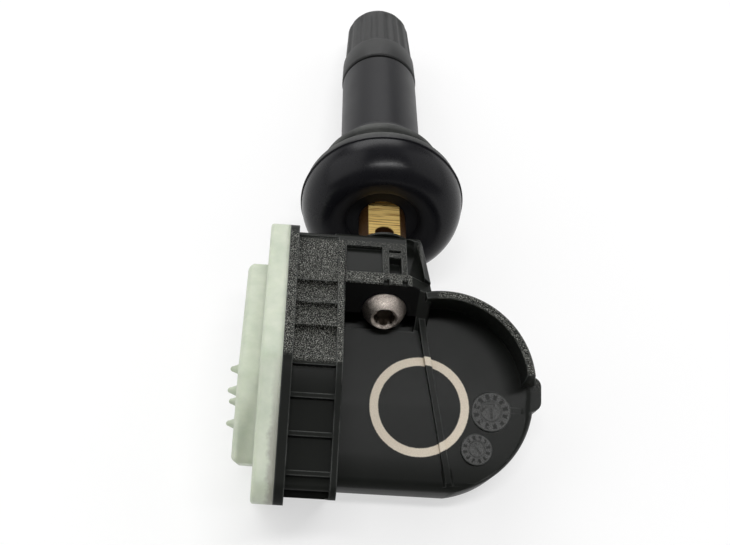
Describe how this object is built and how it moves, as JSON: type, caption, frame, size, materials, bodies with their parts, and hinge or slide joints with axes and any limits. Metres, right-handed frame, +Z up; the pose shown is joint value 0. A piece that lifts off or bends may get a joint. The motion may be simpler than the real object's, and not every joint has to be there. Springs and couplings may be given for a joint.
{
  "type": "tyre pressure sensor",
  "caption": "Wheel-mounted pressure sensor: ribbed plastic housing with a round cell lobe and milky welded lid, screwed to a brass-stemmed snap-in rubber valve with core and cap.",
  "frame": {"origin": "on the valve's stem axis, at the middle of the groove that grips the rim hole", "axes": "+Z up as the part lies on a table, +Y along the table towards the valve cap, +X towards the cell lobe"},
  "size_m": [0.0339, 0.0824, 0.0221],
  "materials": {
    "housing": "black glass-filled nylon, fine grained matt",
    "lid": "milky natural nylon, slightly translucent",
    "filter": "white membrane",
    "board": "green solder mask",
    "chip": "black moulded package",
    "tin": "tin plated",
    "ferrite": "dark ferrite",
    "copper": "enamelled copper wire",
    "capacitor": "fired ceramic",
    "steel": "nickel plated",
    "gasket": "matt",
    "screw": "satin stainless",
    "brass": "machined",
    "rubber": "satin black",
    "core_brass": "machined",
    "core_gasket": "red seal",
    "cap": "black, matt"
  },
  "bodies": {
    "sensor": {"housing": "housing", "lid": "lid", "port_filter": "filter", "circuit_board": "board", "pressure_chip": "chip", "crystal": "tin", "wake_coil_core": "ferrite", "wake_coil_winding": "copper", "antenna_loop": "tin", "capacitors": "capacitor", "cell_can": "steel", "cell_top": "steel", "cell_gasket": "gasket", "tab_plus": "steel", "tab_minus": "steel", "screw": "screw", "brass_stem": "brass", "rubber_valve": "rubber", "core_nut": "core_brass", "core_barrel": "core_brass", "core_gasket": "core_gasket", "core_spring": "steel"},
    "pin": {"core_pin": "core_brass", "core_seal": "gasket"},
    "cap_thread": {"cap_seal": "gasket"},
    "cap": {"valve_cap": "cap"}
  },
  "joints": [
    {"name": "core_pin_press", "type": "slide", "parent": "sensor", "child": "pin", "axis": [0, -0.9816, 0.191], "range_m": [0, 0.0012], "stiffness_N_per_m": 400, "springref_m": -0.002, "deforming": ["core_spring"]},
    {"name": "cap_rise", "type": "slide", "parent": "sensor", "child": "cap_thread", "axis": [0, 0.9816, -0.191], "range_m": [0, 0.00357]},
    {"name": "cap_unscrew", "type": "hinge", "parent": "cap_thread", "child": "cap", "pos_m": [0, 0, 0], "axis": [0, 0.9816, -0.191], "range_deg": [0, 1620]}
  ],
  "couplings": [
    {"joint": "cap_unscrew", "follows": "cap_rise", "rad_per_m": 7913.3}
  ]
}
